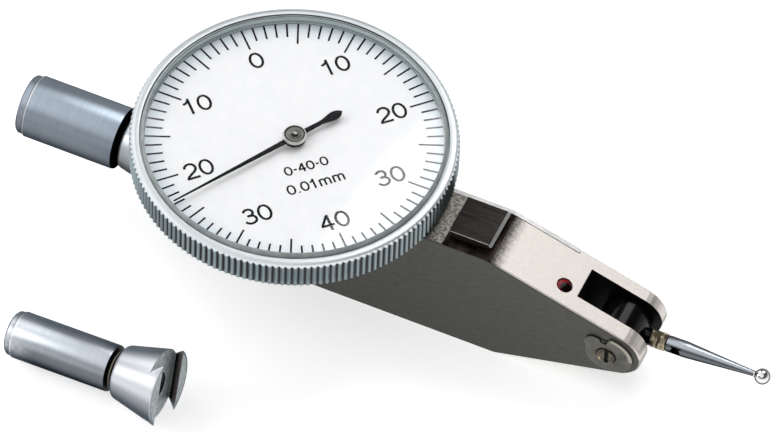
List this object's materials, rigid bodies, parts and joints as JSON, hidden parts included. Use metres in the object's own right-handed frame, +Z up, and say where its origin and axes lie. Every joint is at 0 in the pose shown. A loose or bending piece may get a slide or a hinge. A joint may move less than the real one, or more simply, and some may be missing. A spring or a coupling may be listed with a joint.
{
  "type": "dial test indicator",
  "caption": "Lever dial test indicator with a horizontal round dial in a serrated bezel, a ball stylus in a forked nose, a dovetail-clamped stem and a loose spare stem.",
  "frame": {"origin": "on the flat underside of the body, straight below the dial axis", "axes": "+X towards the stylus, along the body; +Z up through the dial; +Y to the side cover"},
  "size_m": [0.1002, 0.0553, 0.0233],
  "materials": {
    "frame": "satin chromed steel body, dark warm grey sides",
    "cover": "satin chromed thin plate",
    "bezel": "satin chrome, fine straight serrations",
    "head": "turned satin chrome",
    "stem": "satin hardened steel, blue-grey",
    "spare_stem": "satin chrome",
    "crystal": "clear domed crystal",
    "dial": "matt off-white with black printing",
    "pointer": "black paint",
    "steel": "bright machined steel",
    "contact": "polished steel with a hard ball",
    "dark_steel": "blackened steel",
    "brass": "turned brass",
    "ruby": "polished red jewel",
    "knuckle": "glossy black"
  },
  "bodies": {
    "case": {"body_frame": "frame", "side_cover": "cover", "cover_screw_1": "dark_steel", "cover_screw_2": "dark_steel", "cover_screw_3": "dark_steel", "pivot_plate": "dark_steel", "pivot_screw_near": "steel", "pivot_screw_far": "steel", "ruby_plug": "ruby", "front_dovetail": "dark_steel", "rear_dovetail": "dark_steel", "dial_case": "dark_steel", "bezel_retainer": "steel", "movement_bridge": "brass", "bridge_screw_1": "steel", "bridge_screw_2": "steel", "bridge_screw_3": "steel", "jewel_near": "ruby", "jewel_far": "ruby", "jewel_centre": "ruby", "hairspring": "steel", "hairspring_stud": "brass"},
    "bezel": {"bezel": "bezel", "dial_plate": "dial", "crystal": "crystal"},
    "lever": {"lever_arm": "steel", "pivot_pin": "steel", "clutch_washer": "steel"},
    "stylus": {"stylus_knuckle": "knuckle", "stylus_socket": "brass", "contact_point": "contact"},
    "train": {"pinion_arbor": "steel", "crown_wheel": "brass"},
    "pointer": {"pointer": "pointer", "pointer_hub": "steel", "centre_arbor": "steel"},
    "clamp": {"clamp_head": "head"},
    "stem": {"stem_shaft": "stem"},
    "spare_clamp": {"spare_clamp_head": "head"},
    "spare_stem": {"spare_stem_shaft": "spare_stem"}
  },
  "joints": [
    {"name": "bezel_turn", "type": "hinge", "parent": "case", "child": "bezel", "pos_m": [0, 0, 0.0201], "axis": [0, 0, 1], "continuous": true},
    {"name": "lever_swing", "type": "hinge", "parent": "case", "child": "lever", "pos_m": [0.0443, 0, 0.0082], "axis": [0, 1, 0], "range_deg": [-2.6, 2.6], "stiffness_Nm_per_rad": 0.2},
    {"name": "stylus_set", "type": "hinge", "parent": "lever", "child": "stylus", "pos_m": [0.0443, 0, 0.0082], "axis": [0, 1, 0], "range_deg": [-118.5, 121.5]},
    {"name": "train_turn", "type": "hinge", "parent": "case", "child": "train", "pos_m": [0, 0, 0.0082], "axis": [0, 1, 0], "range_deg": [-85.5, 85.5]},
    {"name": "pointer_turn", "type": "hinge", "parent": "case", "child": "pointer", "pos_m": [0, 0, 0.0216], "axis": [0, 0, 1], "range_deg": [-383, 383]},
    {"name": "clamp_slide", "type": "slide", "parent": "case", "child": "clamp", "axis": [0, 1, 0], "range_m": [-0.008, 0.008]},
    {"name": "stem_turn", "type": "hinge", "parent": "clamp", "child": "stem", "pos_m": [-0.03, 0, 0.0089], "axis": [1, 0, 0], "continuous": true},
    {"name": "spare_lift", "type": "slide", "parent": "case", "child": "spare_clamp", "axis": [0, 0, 1], "range_m": [0, 0.05]},
    {"name": "spare_stem_turn", "type": "hinge", "parent": "spare_clamp", "child": "spare_stem", "pos_m": [-0.0244, -0.0289, 0.00295], "axis": [0.9945, -0.0504, 0.092], "continuous": true}
  ],
  "couplings": [
    {"joint": "train_turn", "follows": "lever_swing", "ratio": -32.667},
    {"joint": "pointer_turn", "follows": "lever_swing", "ratio": -147}
  ]
}
